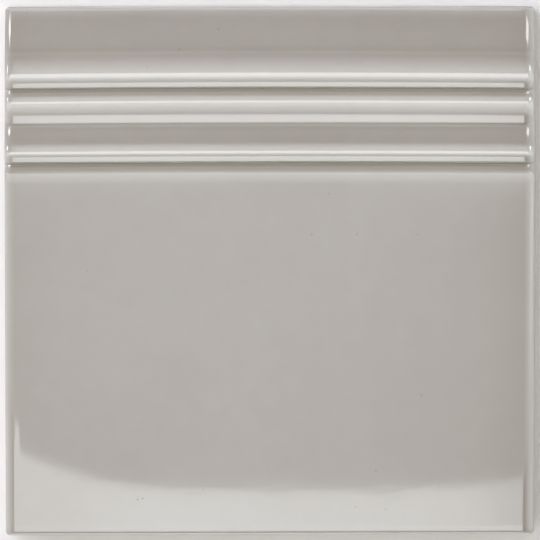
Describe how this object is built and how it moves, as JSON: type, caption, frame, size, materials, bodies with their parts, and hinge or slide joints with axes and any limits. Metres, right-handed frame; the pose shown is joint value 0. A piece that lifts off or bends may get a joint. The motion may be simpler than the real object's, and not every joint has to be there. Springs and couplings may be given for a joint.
{
  "type": "skirting tile",
  "caption": "Square glazed ceramic skirting tile, its plain face topped by two beads, an ovolo and a long swell that step back to a thin top edge.",
  "frame": {"origin": "middle of the tile's back, in the plane that the tile lies on", "axes": "+Z out of the face, +Y towards the moulded top edge, X along the wall"},
  "size_m": [0.152, 0.152, 0.0174],
  "materials": {
    "glaze": "glossy warm grey glaze on face and edges, unglazed back"
  },
  "bodies": {
    "root": {"skirting_tile": "glaze"}
  },
  "joints": []
}
